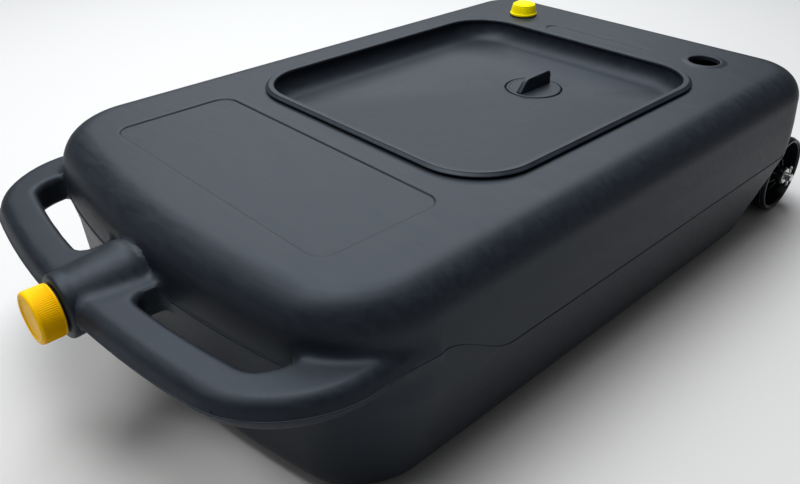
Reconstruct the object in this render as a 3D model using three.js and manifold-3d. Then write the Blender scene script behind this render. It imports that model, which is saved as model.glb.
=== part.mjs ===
// Rolling oil drain pan: a low blow-moulded tank with a drain tray let into its top, a pouring
// spout that runs through the front grab handle, and a fixed axle with two wheels at the rear.
//
// Millimetres. +X is the right-hand side seen from the handle end, +Y points back towards the
// wheels, +Z is up. The origin is on the floor at the middle of the whole object's footprint.

import * as THREE from 'three';
import { mergeVertices } from 'three/addons/utils/BufferGeometryUtils.js';
import Module from 'manifold-3d';

const wasm = await Module();
wasm.setup();

// ---------------------------------------------------------------- driving dimensions

// Tank body
const TANK_HEIGHT = 236;            // floor to the flat top
const TANK_HALF_WIDTH = 302;        // at the parting line, the widest place
const BASE_HALF_WIDTH = 287;
const SHOULDER_HALF_WIDTH = 298;
const PARTING_HEIGHT = 121;         // parting line along the sides
const SHOULDER_RADIUS = 41;         // round between the top and the walls
const BASE_RADIUS = 32;             // round between the floor of the tank and the walls
const FRONT_FACE = -436;            // front wall on the centre line, at handle height
const BASE_FRONT_FACE = -423;       // at the foot of the wall
const PARTING_FRONT_FACE = -428;
const SHOULDER_FRONT_FACE = -434;
const REAR_FACE = 498;
const PARTING_REAR_FACE = 497;
const BASE_REAR_FACE = 492;
const HANDLE_LEVEL_HALF_WIDTH = 300.5;
const FRONT_BOW_RADIUS = 1000;      // the front wall is bowed in plan
const FRONT_CORNER_RADIUS = 88;
const REAR_CORNER_RADIUS = 82;
const BASE_JOINT = 300;             // y, where the base's front length meets its rear length
const WALL = 5;

// Grab handle and spout
const HANDLE_HEIGHT = 165;          // middle plane of the handle, and the spout's axis
const HANDLE_THICKNESS = 35;
const HANDLE_HALF_WIDTH = 300;
const HANDLE_FRONT = -517;
const HANDLE_BOW_RADIUS = 1100;
const HANDLE_CORNER_RADIUS = 94;
const HANDLE_BAR_WIDTH = 46;
const HANDLE_BEVEL = 9;
const HANDLE_ROOT_Y = -300;         // the handle's roots lie along the tank's sides as far as this
const HANDLE_ROOT_RADIUS = 30;
const WINDOW_INNER = 56;            // from the centre line to the near end of a hand gap
const WINDOW_OUTER = 234;           // and to its far end
const WINDOW_REAR = -360;           // the gaps are cut back to here, inside the front wall
const NECK_RADIUS = 34;             // at the collar behind the cap
const NECK_ROOT_RADIUS = 42;        // where the neck runs into the front wall
const NECK_DOME_LENGTH = 12;        // the neck's rounded end, inside the wall's curve
const NECK_EDGE = 3;                // chamfer at the collar and where the dome begins
const NECK_FRONT = -518.5;
const SPOUT_THREAD_RADIUS = 22.6;
const SPOUT_BORE_RADIUS = 18;
const WALL_BORE_RADIUS = 26;        // the hole through the front wall behind the neck
const SPOUT_END = -539.3;
const SPOUT_CAP_RADIUS = 27.5;
const SPOUT_CAP_FRONT = -545.5;
const SPOUT_CAP_BACK = -521;
const SPOUT_CAP_WALL = 3.5;         // thickness of the cap's closed end
const CAP_THREAD_ROOM = 2;          // between a neck and its cap, for both threads
const CAP_CHAMFER = 2;
const LINER_OVERLAP = 1.4;          // how far a liner reaches out past its neck

// Vent neck and open port on the rear deck
const PORT_OFFSET = 168;            // either side of the centre line
const PORT_Y = 390;
const VENT_NECK_TOP = 252.4;
const VENT_NECK_RADIUS = 17.4;
const VENT_BORE_RADIUS = 13;
const VENT_CAP_RADIUS = 22.5;
const VENT_CAP_BOTTOM = 237.4;
const VENT_CAP_TOP = 257.5;
const VENT_CAP_WALL = 3;
const PORT_RADIUS = 22;
const PORT_LIP_RADIUS = 27;
const PORT_LIP_HEIGHT = 1.6;
const VENT_SEAT_RADIUS = 30;        // the round of deck that belongs to the vent's neck
const PORT_SEAT_RADIUS = 36;        // and to the port's lip

// Flat panels sunk into the deck: one in front of the tray and a narrow one behind it
const FRONT_PANEL = { halfWidth: 196, halfLength: 79.5, radius: 20, x: 0, y: -269.5, depth: 1.2 };
const REAR_PANEL = { halfWidth: 91, halfLength: 11.5, radius: 11, x: -7, y: 368.5, depth: 0.8 };

// Drain tray
const TRAY_Y = 87;                  // middle of the tray
const RIM_HALF_WIDTH = 215;
const RIM_HALF_LENGTH = 242;
const RIM_CORNER_RADIUS = 81;
const RIM_WIDTH = 12;
const RIM_BOTTOM = 238.2;
const RIM_TOP = 243;
const TRAY_WALL = 3;
const TRAY_EDGE_FLOOR = 209.5;      // floor height where it meets the walls
const TRAY_LOW_FLOOR = 197;         // floor height at the drain
const TRAY_MOUTH_INSET = 10;        // from the rim's outer edge to the inside of the wall
const TANK_OPENING_INSET = 6;
const SNAP_RIDGE_HEIGHT = 4;
const SNAP_RIDGE_INSET = 4.5;
const SEAL_OUTER_INSET = 1.8;
const SEAL_INNER_INSET = 5.6;
const TRAY_FILLET = 26;             // how far the round at the foot of the wall reaches inwards

// Drain and its screw plug
const DRAIN_Y = 210;
const DRAIN_SEAT_RADIUS = 42;
const DRAIN_SEAT_DEPTH = 6;
const DRAIN_HOLE_RADIUS = 30;
const DRAIN_COLLAR_RADIUS = 36;
const DRAIN_COLLAR_BOTTOM = 172;
const PLUG_RADIUS = 41;
const PLUG_STEM_RADIUS = 27.5;
const PLUG_STEM_BORE = 23.5;
const PLUG_STEM_BOTTOM = 175;
const PLUG_SEAL_THICKNESS = 1.6;
const SEAT_TOP = TRAY_LOW_FLOOR - DRAIN_SEAT_DEPTH;
const FIN_LENGTH = 70;
const FIN_HEIGHT = 20;
const FIN_THICKNESS = 9;
const FIN_FOOT = 2;                 // how far the fin reaches down into the plug's disc
const FIN_ROUND = 7;
const FIN_SLOPE_LENGTH = 12;

// Axle and wheels
const WHEEL_RADIUS = 59;
const WHEEL_WIDTH = 44;
const WHEEL_OUTER_FACE = 287;
const WHEEL_CLEARANCE = 1.5;        // under the wheels while the tank lies on the floor
const AXLE_Y = 486.5;
const AXLE_Z = WHEEL_RADIUS + WHEEL_CLEARANCE;
const AXLE_RADIUS = 6;
const AXLE_HALF_LENGTH = 301;
const WHEEL_BORE_RADIUS = 6.4;
const BAND_THICKNESS = 7;
const BAND_DRAFT = 2;               // the band thins by this much towards both faces
const TREAD_EDGE = 2.5;             // chamfer on both edges of the tread
const WEB_SETBACK = 13;             // from the wheel's inner face to its web
const WEB_THICKNESS = 5;
const HUB_RADIUS = 14;
const HUB_PROUD = 2;                // the hub stands past both faces of the wheel
const WASHER_RADIUS = 12;
const WASHER_THICKNESS = 2;
const PIN_SETBACK = 5;              // from the axle's end to its cross hole
const PIN_WIRE = 3.2;
const PIN_LENGTH = 30;

// Axle mountings
const BRACKET_X = 150;
const BRACKET_WIDTH = 44;
const BRACKET_HALF_HEIGHT = 30;
const REAR_STEP_FACE = 470;         // lower part of the rear wall, in front of the axle
const REAR_STEP_HEIGHT = 104;
const POCKET_INNER = 230;           // wheel pockets reach from here out through the sides
const POCKET_CEILING = 152;
const POCKET_FOOT = 333;            // where the pocket's sloping front wall meets the floor
const POCKET_SLOPE = 0.78;          // how far that wall runs back for each unit that it rises
const POCKET_BEND = 14;             // size of the bend between that wall and the ceiling
const CLIP_THICKNESS = 2;
const CLIP_WIDTH = 30;
const SCREW_SPACING = 20;           // each side of the axle's centre
const SCREW_HEAD_RADIUS = 5;
const SCREW_PILOT_RADIUS = 2.1;
const SCREW_PILOT_DEPTH = 13.5;

const GAP = 0.3;                    // running clearance between pieces that touch
const CUT = 20;                     // how far a cutter runs past the face it opens
const ARC_STEPS = 3;
const SIDE_STEPS = 6;               // parts of each straight side where a loft bends across it
const SIDES = [-1, 1];              // left and right

// ---------------------------------------------------------------- materials

const finish = (color, roughness, metalness = 0) =>
  new THREE.MeshStandardMaterial({ color, roughness, metalness });

const MATERIALS = {
  tank: () => finish(0x2c3136, 0.5),
  tray: () => finish(0x30353a, 0.48),
  yellow: () => finish(0xf2c200, 0.35),
  black: () => finish(0x141517, 0.45),
  rubber: () => finish(0x0d0d0e, 0.9),
  steel: () => finish(0xb9bcc0, 0.3, 1),
};

// ---------------------------------------------------------------- solids

function toSolid(geometry) {
  const bare = geometry.clone();
  bare.deleteAttribute('normal');
  bare.deleteAttribute('uv');
  const merged = mergeVertices(bare, 1e-4);
  const mesh = new wasm.Mesh({
    numProp: 3,
    vertProperties: new Float32Array(merged.attributes.position.array),
    triVerts: new Uint32Array(merged.index.array),
  });
  return new wasm.Manifold(mesh);
}

function toGeometry(solid) {
  const mesh = solid.getMesh();
  const geometry = new THREE.BufferGeometry();
  geometry.setAttribute('position', new THREE.BufferAttribute(new Float32Array(mesh.vertProperties), 3));
  geometry.setIndex(new THREE.BufferAttribute(new Uint32Array(mesh.triVerts), 1));
  return geometry;
}

const joined = (solids) => solids.reduce((whole, next) => whole.add(next));

const cutBy = (solid, cutters) => cutters.reduce((rest, cutter) => rest.subtract(cutter), solid);

function block(x, y, z) {
  const box = new THREE.BoxGeometry(x[1] - x[0], y[1] - y[0], z[1] - z[0]);
  return box.translate((x[0] + x[1]) / 2, (y[0] + y[1]) / 2, (z[0] + z[1]) / 2);
}

// A closed skin over a stack of outlines with equal point counts, lowest first.
function loft(rings) {
  const count = rings[0].points.length;
  const positions = [];
  for (const ring of rings) {
    for (const point of ring.points) positions.push(point.x, point.y, ring.height);
  }
  const index = [];
  for (let level = 0; level < rings.length - 1; level += 1) {
    for (let i = 0; i < count; i += 1) {
      const a = level * count + i;
      const b = level * count + (i + 1) % count;
      index.push(a, b, b + count);
      index.push(a, b + count, a + count);
    }
  }
  const top = (rings.length - 1) * count;
  for (const [a, b, c] of THREE.ShapeUtils.triangulateShape(rings[0].points, [])) {
    index.push(c, b, a);
  }
  for (const [a, b, c] of THREE.ShapeUtils.triangulateShape(rings[rings.length - 1].points, [])) {
    index.push(top + a, top + b, top + c);
  }
  const geometry = new THREE.BufferGeometry();
  geometry.setAttribute('position', new THREE.Float32BufferAttribute(positions, 3));
  geometry.setIndex(index);
  return geometry;
}

function prism(outline, bottom, top) {
  return loft([{ height: bottom, points: outline }, { height: top, points: outline }]);
}

// A turned solid: profile points are [radius, height] and close on themselves or on the axis.
function turned(profile, segments = 32) {
  const points = profile.map(([radius, height]) => new THREE.Vector2(radius, height));
  return new THREE.LatheGeometry(points, segments).rotateX(Math.PI / 2);
}

const disc = (radius, bottom, top, segments) =>
  turned([[0, bottom], [radius, bottom], [radius, top], [0, top]], segments);

const ring = (inner, outer, bottom, top, segments) =>
  turned([[inner, bottom], [outer, bottom], [outer, top], [inner, top], [inner, bottom]], segments);

// Turned solids stand along +Z; these lay them along the axle and along the spout.
const alongX = (geometry) => geometry.rotateY(Math.PI / 2);
const alongFront = (geometry) => geometry.rotateX(Math.PI / 2);

// ---------------------------------------------------------------- outlines

// The path's points without the doubles where one arc ends and the next begins.
function openPoints(path, steps) {
  const points = path.getPoints(steps);
  return points.filter((point, i) => point.distanceTo(points.at(i - 1)) > 1e-3);
}

// Plan of the tank and of the handle: bowed front, round corners, straight sides and rear.
function bowedOutline({ halfWidth, front, rear, bowRadius, frontRadius, rearRadius }) {
  const turn = Math.asin((halfWidth - frontRadius) / (bowRadius - frontRadius));
  const cornerX = halfWidth - frontRadius;
  const cornerY = front + bowRadius - (bowRadius - frontRadius) * Math.cos(turn);
  const right = -Math.PI / 2 + turn;
  const path = new THREE.Path();
  path.absarc(0, front + bowRadius, bowRadius, -Math.PI / 2 - turn, right);
  path.absarc(cornerX, cornerY, frontRadius, right, 0);
  path.absarc(halfWidth - rearRadius, rear - rearRadius, rearRadius, 0, Math.PI / 2);
  path.absarc(rearRadius - halfWidth, rear - rearRadius, rearRadius, Math.PI / 2, Math.PI);
  path.absarc(-cornerX, cornerY, frontRadius, Math.PI, Math.PI * 1.5 - turn);
  return openPoints(path, ARC_STEPS);
}

function roundedOutline({ halfWidth, halfLength, radius, x, y }) {
  const path = new THREE.Path();
  path.absarc(x + halfWidth - radius, y - halfLength + radius, radius, -Math.PI / 2, 0);
  path.absarc(x + halfWidth - radius, y + halfLength - radius, radius, 0, Math.PI / 2);
  path.absarc(x - halfWidth + radius, y + halfLength - radius, radius, Math.PI / 2, Math.PI);
  path.absarc(x - halfWidth + radius, y - halfLength + radius, radius, Math.PI, Math.PI * 1.5);
  return openPoints(path, ARC_STEPS);
}

// Divides the outline's straight sides, the only stretches that are longer than the threshold.
function splitSides(points, threshold = 100) {
  return points.flatMap((point, i) => {
    const next = points[(i + 1) % points.length];
    const steps = point.distanceTo(next) > threshold ? SIDE_STEPS : 1;
    return Array.from({ length: steps }, (_, k) => point.clone().lerp(next, k / steps));
  });
}

// ---------------------------------------------------------------- tank

// Wall stations of the tank from the floor up; inset moves every wall inwards, as for the cavity.
function tankSkin(inset) {
  const stations = [];
  const station = (height, halfWidth, front, rear, round) => stations.push({
    height,
    points: bowedOutline({
      halfWidth: halfWidth - inset - round,
      front: front + inset + round,
      rear: rear - inset - round,
      bowRadius: FRONT_BOW_RADIUS - inset - round,
      frontRadius: FRONT_CORNER_RADIUS - inset - round,
      rearRadius: REAR_CORNER_RADIUS - inset - round,
    }),
  });
  const baseRadius = BASE_RADIUS - inset;
  const shoulderRadius = SHOULDER_RADIUS - inset;
  for (const angle of [0, 30, 60]) {
    const turn = THREE.MathUtils.degToRad(angle);
    const height = BASE_RADIUS - baseRadius * Math.cos(turn);
    station(height, BASE_HALF_WIDTH, BASE_FRONT_FACE, BASE_REAR_FACE, baseRadius * (1 - Math.sin(turn)));
  }
  station(BASE_RADIUS, BASE_HALF_WIDTH, BASE_FRONT_FACE, BASE_REAR_FACE, 0);
  station(PARTING_HEIGHT, TANK_HALF_WIDTH, PARTING_FRONT_FACE, PARTING_REAR_FACE, 0);
  station(HANDLE_HEIGHT, HANDLE_LEVEL_HALF_WIDTH, FRONT_FACE, REAR_FACE, 0);
  const shoulderHeight = TANK_HEIGHT - SHOULDER_RADIUS;
  for (const angle of [0, 30, 60, 90]) {
    const turn = THREE.MathUtils.degToRad(angle);
    const height = shoulderHeight + shoulderRadius * Math.sin(turn);
    const round = shoulderRadius * (1 - Math.cos(turn));
    station(height, SHOULDER_HALF_WIDTH, SHOULDER_FRONT_FACE, REAR_FACE, round);
  }
  return toSolid(loft(stations));
}

// The space taken out of both rear corners for the wheels, seen from the side.
function wheelPocket(side, grow) {
  const shape = new THREE.Shape();
  const frontAt = (height) => POCKET_FOOT + POCKET_SLOPE * height - grow;
  const ceiling = POCKET_CEILING + grow;
  shape.moveTo(frontAt(-CUT), -CUT);
  shape.lineTo(REAR_FACE + CUT, -CUT);
  shape.lineTo(REAR_FACE + CUT, ceiling);
  shape.lineTo(frontAt(ceiling) + POCKET_BEND, ceiling);
  shape.quadraticCurveTo(frontAt(ceiling) + 2, ceiling, frontAt(ceiling - POCKET_BEND), ceiling - POCKET_BEND);
  shape.closePath();
  const from = POCKET_INNER - grow;
  const depth = TANK_HALF_WIDTH + CUT - from;
  const geometry = new THREE.ExtrudeGeometry(shape, { depth, bevelEnabled: false, curveSegments: 4 });
  geometry.rotateX(Math.PI / 2).rotateZ(Math.PI / 2);
  geometry.translate(side > 0 ? from : -from - depth, 0, 0);
  return toSolid(geometry);
}

// The lower rear wall is set forward between the wheels, so that the axle can pass behind it.
function rearStep(grow) {
  const across = [-TANK_HALF_WIDTH, TANK_HALF_WIDTH];
  return toSolid(block(across, [REAR_STEP_FACE - grow, REAR_FACE + CUT], [-CUT, REAR_STEP_HEIGHT + grow]));
}

// The plan of the handle: its front edge is bowed, and its straight rear edge lies inside the tank.
function handleOutline(inset, rear) {
  return bowedOutline({
    halfWidth: HANDLE_HALF_WIDTH - inset,
    front: HANDLE_FRONT + inset,
    rear,
    bowRadius: HANDLE_BOW_RADIUS - inset,
    frontRadius: HANDLE_CORNER_RADIUS - inset,
    rearRadius: HANDLE_ROOT_RADIUS,
  });
}

// A flat plate with chamfered edges, the depth of the handle.
function handlePlate() {
  const bottom = HANDLE_HEIGHT - HANDLE_THICKNESS / 2;
  const top = HANDLE_HEIGHT + HANDLE_THICKNESS / 2;
  const edge = HANDLE_BEVEL / 2;
  return toSolid(loft([
    { height: bottom, points: handleOutline(HANDLE_BEVEL, HANDLE_ROOT_Y) },
    { height: bottom + edge, points: handleOutline(edge, HANDLE_ROOT_Y) },
    { height: HANDLE_HEIGHT, points: handleOutline(0, HANDLE_ROOT_Y) },
    { height: top - edge, points: handleOutline(edge, HANDLE_ROOT_Y) },
    { height: top, points: handleOutline(HANDLE_BEVEL, HANDLE_ROOT_Y) },
  ]));
}

// Both hand gaps: the space inside the bar, between the spout's web and the handle's roots.
function handGap(side) {
  const inner = toSolid(prism(handleOutline(HANDLE_BAR_WIDTH, WINDOW_REAR), 0, TANK_HEIGHT));
  const near = side > 0 ? WINDOW_INNER : -WINDOW_OUTER;
  const far = side > 0 ? WINDOW_OUTER : -WINDOW_INNER;
  const reach = toSolid(block([near, far], [HANDLE_FRONT, WINDOW_REAR], [0, TANK_HEIGHT]));
  return inner.intersect(reach);
}

// The neck runs from inside the front wall to its collar; grow widens it for the handle's cut.
function neckBarrel(grow) {
  const barrel = alongFront(turned([
    [0, -FRONT_FACE - CUT - grow],
    [NECK_ROOT_RADIUS - NECK_DOME_LENGTH + grow, -FRONT_FACE - CUT - grow],
    [NECK_ROOT_RADIUS - NECK_EDGE + grow, -FRONT_FACE - NECK_DOME_LENGTH],
    [NECK_ROOT_RADIUS + grow, -FRONT_FACE + NECK_EDGE],
    [NECK_RADIUS + grow, -NECK_FRONT - NECK_EDGE],
    [NECK_RADIUS - NECK_EDGE + grow, -NECK_FRONT + grow],
    [0, -NECK_FRONT + grow],
  ], 28));
  return toSolid(barrel.translate(0, 0, HANDLE_HEIGHT));
}

function atPort(side, geometry) {
  return toSolid(geometry.translate(side * PORT_OFFSET, PORT_Y, 0));
}

function axleBracket(side) {
  const x = side * BRACKET_X;
  const half = BRACKET_WIDTH / 2;
  const heights = [AXLE_Z - BRACKET_HALF_HEIGHT, AXLE_Z + BRACKET_HALF_HEIGHT];
  return toSolid(block([x - half, x + half], [REAR_STEP_FACE - 2, AXLE_Y], heights));
}

const trayOutline = (inset) =>
  roundedOutline({
    halfWidth: RIM_HALF_WIDTH - inset,
    halfLength: RIM_HALF_LENGTH - inset,
    radius: RIM_CORNER_RADIUS - inset,
    x: 0,
    y: TRAY_Y,
  });

// The hollow shell, with everything that is let into it or opened through its walls.
function tankShell() {
  const steps = (grow) => [rearStep(grow), ...SIDES.map((side) => wheelPocket(side, grow))];
  const outer = joined([cutBy(tankSkin(0), steps(0)), ...SIDES.map(axleBracket)]);
  const cavity = cutBy(tankSkin(WALL), steps(WALL));
  const deckCut = [TANK_HEIGHT - WALL - 1, TANK_HEIGHT + CUT];
  const panels = [FRONT_PANEL, REAR_PANEL].map((panel) =>
    toSolid(prism(roundedOutline(panel), TANK_HEIGHT - panel.depth, TANK_HEIGHT + CUT)));
  const bore = alongFront(disc(WALL_BORE_RADIUS, -FRONT_FACE - CUT, -FRONT_FACE + CUT, 28));
  const axleSlot = alongX(disc(AXLE_RADIUS + GAP, -TANK_HALF_WIDTH, TANK_HALF_WIDTH, 20));
  const screwHoles = SIDES.flatMap((side) => SIDES.map((end) => {
    const hole = disc(SCREW_PILOT_RADIUS, -AXLE_Y, SCREW_PILOT_DEPTH - AXLE_Y, 12).rotateX(Math.PI / 2);
    return toSolid(hole.translate(side * BRACKET_X, 0, AXLE_Z + end * SCREW_SPACING));
  }));
  return cutBy(outer, [
    cavity,
    toSolid(prism(trayOutline(TANK_OPENING_INSET), ...deckCut)),
    toSolid(bore.translate(0, 0, HANDLE_HEIGHT)),
    atPort(-1, disc(VENT_SEAT_RADIUS + GAP, ...deckCut, 32)),
    atPort(1, disc(PORT_SEAT_RADIUS + GAP, ...deckCut, 32)),
    ...panels,
    toSolid(axleSlot.translate(0, AXLE_Y, AXLE_Z)),
    ...screwHoles,
  ]);
}

const shell = tankShell();

// The part of the shell between a front and a rear plane and between two heights. The base and the
// top meet at the handle's middle plane, where the front wall's parting line is, and the base is in
// two lengths that meet ahead of the wheel pockets.
function shellWithin(along, upright) {
  const across = [-TANK_HALF_WIDTH - CUT, TANK_HALF_WIDTH + CUT];
  return shell.intersect(toSolid(block(across, along, upright)));
}

const PAST_FRONT = FRONT_FACE - CUT;
const PAST_REAR = REAR_FACE + CUT;
const baseHeights = [-CUT, HANDLE_HEIGHT - GAP / 2];
const topHeights = [HANDLE_HEIGHT + GAP / 2, TANK_HEIGHT + CUT];

const makeBaseFront = () => shellWithin([PAST_FRONT, BASE_JOINT - GAP / 2], baseHeights);
const makeBaseRear = () => shellWithin([BASE_JOINT + GAP / 2, PAST_REAR], baseHeights);
const makeTankTop = () => shellWithin([PAST_FRONT, PAST_REAR], topHeights);

// Half of the grab handle, from its root on the tank to the web beside the neck.
function makeHandleHalf(side) {
  const across = side > 0 ? [0, TANK_HALF_WIDTH + CUT] : [-TANK_HALF_WIDTH - CUT, 0];
  const half = toSolid(block(across, [HANDLE_FRONT - CUT, 0], [0, TANK_HEIGHT]));
  return cutBy(handlePlate().intersect(half), [handGap(side), neckBarrel(GAP), tankSkin(-GAP)]);
}

function makeSpoutNeck() {
  const laid = (geometry) => toSolid(alongFront(geometry).translate(0, 0, HANDLE_HEIGHT));
  const thread = laid(disc(SPOUT_THREAD_RADIUS, -NECK_FRONT - 1, -SPOUT_END, 24));
  const bore = laid(disc(SPOUT_BORE_RADIUS, -FRONT_FACE - 2 * CUT, -SPOUT_END + CUT, 24));
  return cutBy(neckBarrel(0).add(thread), [tankSkin(-GAP), bore]);
}

// A raised ring on the deck with the round of deck that it stands on.
function deckRing(side, { bore, outer, seat, top }) {
  return atPort(side, turned([
    [bore, TANK_HEIGHT - WALL], [seat, TANK_HEIGHT - WALL], [seat, TANK_HEIGHT], [outer, TANK_HEIGHT],
    [outer, top], [bore, top], [bore, TANK_HEIGHT - WALL],
  ], 32));
}

const makeVentNeck = () => deckRing(-1, {
  bore: VENT_BORE_RADIUS,
  outer: VENT_NECK_RADIUS,
  seat: VENT_SEAT_RADIUS,
  top: VENT_NECK_TOP,
});

const makePortLip = () => deckRing(1, {
  bore: PORT_RADIUS,
  outer: PORT_LIP_RADIUS,
  seat: PORT_SEAT_RADIUS,
  top: TANK_HEIGHT + PORT_LIP_HEIGHT,
});

// ---------------------------------------------------------------- drain tray

// The hollow of the tray: a round seat edge at the drain, opening out to the rounded mouth.
function trayHollow(grow) {
  const mouth = TRAY_MOUTH_INSET - grow;
  const around = (inset) => splitSides(trayOutline(inset));
  const edge = around(mouth + TRAY_FILLET);
  const centre = new THREE.Vector2(0, DRAIN_Y);
  const aroundDrain = edge.map((point) =>
    point.clone().sub(centre).setLength(DRAIN_SEAT_RADIUS + 2 + grow).add(centre));
  return toSolid(loft([
    { height: TRAY_LOW_FLOOR - grow, points: aroundDrain },
    { height: TRAY_EDGE_FLOOR - grow, points: edge },
    { height: TRAY_EDGE_FLOOR + 4 - grow, points: around(mouth + TRAY_FILLET / 2 - 1) },
    { height: TRAY_EDGE_FLOOR + 14 - grow, points: around(mouth + 3) },
    { height: RIM_BOTTOM, points: around(mouth) },
  ]));
}

function makeTray() {
  const atDrain = (geometry) => toSolid(geometry.translate(0, DRAIN_Y, 0));
  const ridgeTop = TANK_HEIGHT - WALL - GAP;
  const bowl = joined([
    trayHollow(TRAY_WALL),
    toSolid(prism(trayOutline(0), RIM_BOTTOM, RIM_TOP)),
    toSolid(prism(trayOutline(SNAP_RIDGE_INSET), ridgeTop - SNAP_RIDGE_HEIGHT, ridgeTop)),
    atDrain(disc(DRAIN_SEAT_RADIUS + TRAY_WALL, SEAT_TOP - TRAY_WALL, TRAY_LOW_FLOOR, 32)),
    atDrain(disc(DRAIN_COLLAR_RADIUS, DRAIN_COLLAR_BOTTOM, SEAT_TOP, 32)),
  ]);
  return cutBy(bowl, [
    trayHollow(0),
    toSolid(prism(trayOutline(RIM_WIDTH), RIM_BOTTOM - 1, RIM_TOP + CUT)),
    atDrain(disc(DRAIN_SEAT_RADIUS, SEAT_TOP, TRAY_LOW_FLOOR + CUT, 32)),
    atDrain(disc(DRAIN_HOLE_RADIUS, DRAIN_COLLAR_BOTTOM - CUT, SEAT_TOP + 1, 32)),
  ]);
}

function makeTraySeal() {
  const bottom = TANK_HEIGHT + GAP;
  const top = RIM_BOTTOM - GAP;
  const outside = toSolid(prism(trayOutline(SEAL_OUTER_INSET), bottom, top));
  return outside.subtract(toSolid(prism(trayOutline(SEAL_INNER_INSET), bottom - 1, top + 1)));
}

// ---------------------------------------------------------------- drain plug

const PLUG_BOTTOM = SEAT_TOP + PLUG_SEAL_THICKNESS + 2 * GAP;

// The fin seen from the side: low and sloping at the front, upright with a round corner at the rear.
function finShape() {
  const fin = new THREE.Shape();
  const half = FIN_LENGTH / 2;
  fin.moveTo(-half, -FIN_FOOT);
  fin.lineTo(half, -FIN_FOOT);
  fin.lineTo(half, FIN_HEIGHT - FIN_ROUND);
  fin.quadraticCurveTo(half, FIN_HEIGHT, half - FIN_ROUND, FIN_HEIGHT);
  fin.lineTo(FIN_SLOPE_LENGTH - half, FIN_HEIGHT - 2);
  fin.quadraticCurveTo(FIN_SLOPE_LENGTH / 3 - half, FIN_HEIGHT - 4, -half, 0);
  fin.closePath();
  return fin;
}

function makePlug() {
  const wing = new THREE.ExtrudeGeometry(finShape(), { depth: FIN_THICKNESS, bevelEnabled: false, curveSegments: 4 });
  wing.translate(0, 0, -FIN_THICKNESS / 2).rotateX(Math.PI / 2).rotateZ(Math.PI / 2);
  wing.translate(0, 0, TRAY_LOW_FLOOR);
  const stem = turned([
    [0, PLUG_BOTTOM], [PLUG_STEM_BORE, PLUG_BOTTOM], [PLUG_STEM_BORE, PLUG_STEM_BOTTOM],
    [PLUG_STEM_RADIUS, PLUG_STEM_BOTTOM], [PLUG_STEM_RADIUS, PLUG_BOTTOM], [PLUG_RADIUS, PLUG_BOTTOM],
    [PLUG_RADIUS, TRAY_LOW_FLOOR], [0, TRAY_LOW_FLOOR],
  ], 32);
  return toSolid(stem).add(toSolid(wing)).translate([0, DRAIN_Y, 0]);
}

function makePlugSeal() {
  const bottom = SEAT_TOP + GAP;
  return toSolid(ring(DRAIN_HOLE_RADIUS + 1, PLUG_RADIUS - 1.5, bottom, bottom + PLUG_SEAL_THICKNESS, 32))
    .translate([0, DRAIN_Y, 0]);
}

// ---------------------------------------------------------------- screw caps

// A cap seen as a cup standing mouth down, with its closed end at the top.
function capCup({ radius, cavityRadius, mouth, endInside, end }) {
  return turned([
    [0, endInside], [cavityRadius, endInside], [cavityRadius, mouth], [radius, mouth],
    [radius, end - CAP_CHAMFER], [radius - CAP_CHAMFER, end], [0, end],
  ], 36);
}

function makeSpoutCap() {
  const cup = capCup({
    radius: SPOUT_CAP_RADIUS,
    cavityRadius: SPOUT_THREAD_RADIUS + CAP_THREAD_ROOM,
    mouth: -SPOUT_CAP_BACK,
    endInside: -SPOUT_CAP_FRONT - SPOUT_CAP_WALL,
    end: -SPOUT_CAP_FRONT,
  });
  return toSolid(alongFront(cup).translate(0, 0, HANDLE_HEIGHT));
}

function makeSpoutLiner() {
  const top = -SPOUT_CAP_FRONT - SPOUT_CAP_WALL - GAP;
  const liner = disc(SPOUT_THREAD_RADIUS + LINER_OVERLAP, -SPOUT_END + GAP, top, 32);
  return toSolid(alongFront(liner).translate(0, 0, HANDLE_HEIGHT));
}

function makeVentCap() {
  return atPort(-1, capCup({
    radius: VENT_CAP_RADIUS,
    cavityRadius: VENT_NECK_RADIUS + CAP_THREAD_ROOM,
    mouth: VENT_CAP_BOTTOM,
    endInside: VENT_CAP_TOP - VENT_CAP_WALL,
    end: VENT_CAP_TOP,
  }));
}

function makeVentLiner() {
  const top = VENT_CAP_TOP - VENT_CAP_WALL - GAP;
  return atPort(-1, disc(VENT_NECK_RADIUS + LINER_OVERLAP, VENT_NECK_TOP + GAP, top, 28));
}

// ---------------------------------------------------------------- axle and wheels

// Lays a solid turned about +Z along the axle; side picks the end that it faces.
function onAxle(side, geometry) {
  const laid = alongX(geometry);
  if (side < 0) laid.rotateZ(Math.PI);
  return toSolid(laid.translate(0, AXLE_Y, AXLE_Z));
}

const pinX = AXLE_HALF_LENGTH - PIN_SETBACK;
const outerWasherX = WHEEL_OUTER_FACE + HUB_PROUD + GAP;
const innerHubX = WHEEL_OUTER_FACE - WHEEL_WIDTH - HUB_PROUD;

function makeAxle() {
  const rod = turned([
    [0, -AXLE_HALF_LENGTH], [AXLE_RADIUS - 1, -AXLE_HALF_LENGTH], [AXLE_RADIUS, 1 - AXLE_HALF_LENGTH],
    [AXLE_RADIUS, AXLE_HALF_LENGTH - 1], [AXLE_RADIUS - 1, AXLE_HALF_LENGTH], [0, AXLE_HALF_LENGTH],
  ], 24);
  const crossHole = () => disc(PIN_WIRE / 2 + GAP, -10, 10, 12).translate(0, AXLE_Y, AXLE_Z);
  return cutBy(onAxle(1, rod), [-1, 1].map((side) => toSolid(crossHole().translate(side * pinX, 0, 0))));
}

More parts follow.
